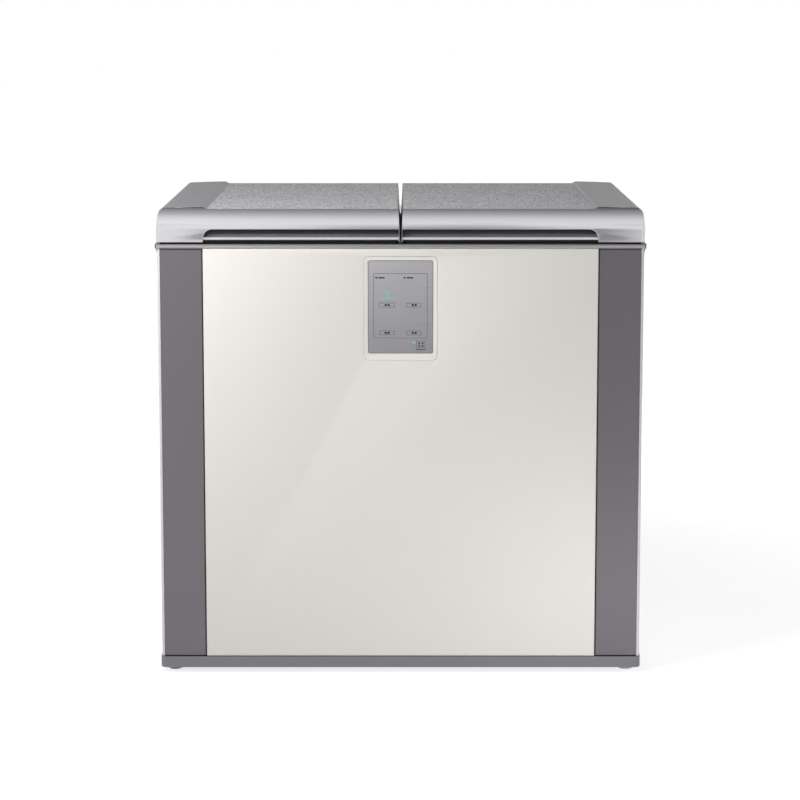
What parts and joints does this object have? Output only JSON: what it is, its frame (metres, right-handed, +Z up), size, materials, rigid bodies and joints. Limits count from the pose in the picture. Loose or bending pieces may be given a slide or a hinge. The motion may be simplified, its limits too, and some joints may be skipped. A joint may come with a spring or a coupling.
{
  "type": "kimchi refrigerator",
  "caption": "Chest-type kimchi refrigerator with top lids that hinge up at the back, insulated compartments with lift-out tubs, a recessed front control panel and a rear machine room.",
  "frame": {"origin": "middle of the footprint, on the floor", "axes": "+X to the user's right along the front, +Y from the front to the back, +Z up"},
  "size_m": [0.925, 0.7, 0.896],
  "materials": {
    "silver_plastic": "satin",
    "base_plastic": "satin",
    "lid_inlay": "satin",
    "cream_panel": "satin",
    "cream_bezel": "satin",
    "mauve_strip": "satin",
    "side_steel": "satin",
    "rear_steel": "matte",
    "liner_aluminium": "satin",
    "tube_aluminium": "satin",
    "tube_copper": "satin",
    "insulation": "matte",
    "touch_window": "gloss",
    "circuit_board": "satin",
    "mount_rubber": "matte",
    "gasket_rubber": "matte",
    "compressor_black": "satin",
    "motor_steel": "satin",
    "hinge_steel": "satin",
    "black_plastic": "matte",
    "foot_plastic": "satin",
    "white_plastic": "satin",
    "tub_plastic": "satin",
    "tub_lid_plastic": "satin"
  },
  "bodies": {
    "cabinet": {"base_tray": "base_plastic", "side_panel_left": "side_steel", "side_panel_right": "side_steel", "front_strip_left": "mauve_strip", "front_strip_right": "mauve_strip", "front_panel": "cream_panel", "rear_panel": "rear_steel", "machine_cover": "rear_steel", "power_cord_gland": "black_plastic", "top_frame": "silver_plastic", "insulation_foam": "insulation", "liner_left": "liner_aluminium", "liner_right": "liner_aluminium", "evaporator_left": "tube_aluminium", "evaporator_right": "tube_aluminium", "control_bezel": "cream_bezel", "control_window": "touch_window", "control_board": "circuit_board", "compressor_grommet_1": "mount_rubber", "compressor_grommet_2": "mount_rubber", "compressor_grommet_3": "mount_rubber", "compressor_grommet_4": "mount_rubber", "compressor": "compressor_black", "condenser": "tube_aluminium", "filter_drier": "tube_copper", "discharge_tube": "tube_copper", "suction_tube": "tube_copper", "capillary_tube": "tube_copper", "fan_bracket": "black_plastic", "fan_motor": "motor_steel", "control_box": "white_plastic", "hinge_bracket_inner_left": "hinge_steel", "hinge_bracket_outer_left": "hinge_steel", "hinge_bracket_inner_right": "hinge_steel", "hinge_bracket_outer_right": "hinge_steel"},
    "left_lid": {"lid_cover_left": "silver_plastic", "lid_handle_left": "silver_plastic", "lid_inlay_left": "lid_inlay", "lid_foam_left": "insulation", "lid_liner_left": "white_plastic", "lid_gasket_left": "gasket_rubber", "hinge_leaf_inner_left": "hinge_steel", "hinge_leaf_outer_left": "hinge_steel"},
    "right_lid": {"lid_cover_right": "silver_plastic", "lid_handle_right": "silver_plastic", "lid_inlay_right": "lid_inlay", "lid_foam_right": "insulation", "lid_liner_right": "white_plastic", "lid_gasket_right": "gasket_rubber", "hinge_leaf_inner_right": "hinge_steel", "hinge_leaf_outer_right": "hinge_steel"},
    "front_tub": {"kimchi_tub_front": "tub_plastic"},
    "front_tub_lid": {"kimchi_tub_lid_front": "tub_lid_plastic"},
    "rear_tub": {"kimchi_tub_rear": "tub_plastic"},
    "rear_tub_lid": {"kimchi_tub_lid_rear": "tub_lid_plastic"},
    "condenser_fan": {"fan_rotor": "black_plastic"},
    "left_roller": {"rear_roller_left": "black_plastic"},
    "right_roller": {"rear_roller_right": "black_plastic"},
    "left_foot": {"levelling_foot_left": "foot_plastic"},
    "right_foot": {"levelling_foot_right": "foot_plastic"}
  },
  "joints": [
    {"name": "left_lid_hinge", "type": "hinge", "parent": "cabinet", "child": "left_lid", "pos_m": [-0.23, 0.317, 0.843], "axis": [-1, 0, 0], "range_deg": [0, 78], "stiffness_Nm_per_rad": 3, "springref_deg": 171.89},
    {"name": "right_lid_hinge", "type": "hinge", "parent": "cabinet", "child": "right_lid", "pos_m": [0.23, 0.317, 0.843], "axis": [-1, 0, 0], "range_deg": [0, 78], "stiffness_Nm_per_rad": 3, "springref_deg": 171.89},
    {"name": "front_tub_lift", "type": "slide", "parent": "cabinet", "child": "front_tub", "axis": [0, 0, 1], "range_m": [0, 0.22]},
    {"name": "front_tub_lid_lift", "type": "slide", "parent": "front_tub", "child": "front_tub_lid", "axis": [0, 0, 1], "range_m": [0, 0.06]},
    {"name": "rear_tub_lift", "type": "slide", "parent": "cabinet", "child": "rear_tub", "axis": [0, 0, 1], "range_m": [0, 0.22]},
    {"name": "rear_tub_lid_lift", "type": "slide", "parent": "rear_tub", "child": "rear_tub_lid", "axis": [0, 0, 1], "range_m": [0, 0.06]},
    {"name": "condenser_fan_spin", "type": "hinge", "parent": "cabinet", "child": "condenser_fan", "pos_m": [0.06, 0.231, 0.122], "axis": [1, 0, 0], "continuous": true},
    {"name": "left_roller_spin", "type": "hinge", "parent": "cabinet", "child": "left_roller", "pos_m": [-0.415, 0.289, 0.018], "axis": [1, 0, 0], "continuous": true},
    {"name": "right_roller_spin", "type": "hinge", "parent": "cabinet", "child": "right_roller", "pos_m": [0.415, 0.289, 0.018], "axis": [1, 0, 0], "continuous": true},
    {"name": "left_foot_adjust", "type": "slide", "parent": "cabinet", "child": "left_foot", "axis": [0, 0, -1], "range_m": [0, 0.015]},
    {"name": "right_foot_adjust", "type": "slide", "parent": "cabinet", "child": "right_foot", "axis": [0, 0, -1], "range_m": [0, 0.015]}
  ]
}
